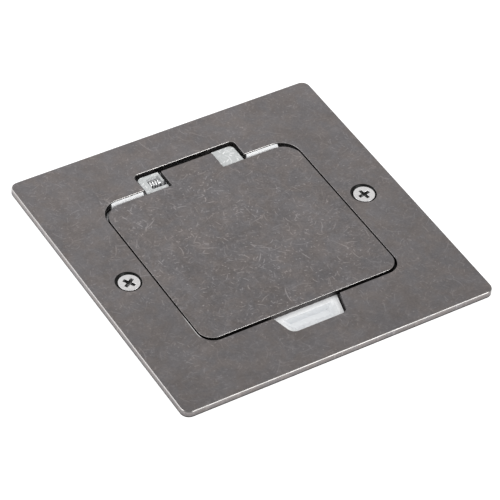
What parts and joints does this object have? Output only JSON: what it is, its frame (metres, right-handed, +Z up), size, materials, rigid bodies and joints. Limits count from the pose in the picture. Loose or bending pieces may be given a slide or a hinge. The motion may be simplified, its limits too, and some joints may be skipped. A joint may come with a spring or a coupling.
{
  "type": "floor socket box",
  "caption": "Flush floor socket with a sprung flip lid in a metal plate, over a shuttered socket in a sunk steel box.",
  "frame": {"origin": "centre of the cover plate at its underside, which is the finished floor's level", "axes": "+Z up out of the floor, +Y to the lid's hinge, +X along the hinge to the right seen from the front"},
  "size_m": [0.12, 0.12, 0.0525],
  "materials": {
    "plate_metal": "aged pewter, satin with light mottling",
    "nickel_screw": "bright nickel",
    "zinc_steel": "bright zinc",
    "spring_steel": "drawn wire",
    "galvanised_steel": "galvanised",
    "contact_brass": "plain brass",
    "white_moulding": "satin white",
    "grey_moulding": "satin off-white",
    "shutter_moulding": "satin pale grey",
    "gasket_foam": "closed-cell foam",
    "grommet_rubber": "matt"
  },
  "bodies": {
    "root": {"cover_plate": "plate_metal", "plate_screws": "nickel_screw", "plate_gasket": "gasket_foam", "hinge_pin": "zinc_steel", "torsion_spring": "spring_steel", "carrier_frame": "white_moulding", "socket_front": "white_moulding", "socket_back": "grey_moulding", "shutter_spring": "spring_steel", "live_contact": "contact_brass", "neutral_contact": "contact_brass", "earth_contact": "contact_brass", "terminal_screws": "contact_brass", "case_screws": "zinc_steel", "back_box": "galvanised_steel", "box_lugs": "galvanised_steel", "cable_grommet": "grommet_rubber", "box_earth_terminal": "contact_brass", "earth_terminal_screw": "contact_brass"},
    "lid": {"lid_plate": "plate_metal", "lid_hinge_leaf": "zinc_steel", "lid_studs": "zinc_steel"},
    "shutter": {"shutter": "shutter_moulding"}
  },
  "joints": [
    {"name": "lid_hinge", "type": "hinge", "parent": "root", "child": "lid", "pos_m": [0, 0.04, -0.0005], "axis": [-1, 0, 0], "range_deg": [0, 105], "stiffness_Nm_per_rad": 0.02, "springref_deg": -28.65, "deforming": ["torsion_spring"]},
    {"name": "shutter_slide", "type": "slide", "parent": "root", "child": "shutter", "axis": [0, -1, 0], "range_m": [0, 0.006], "stiffness_N_per_m": 150, "springref_m": -0.004, "deforming": ["shutter_spring"]}
  ]
}
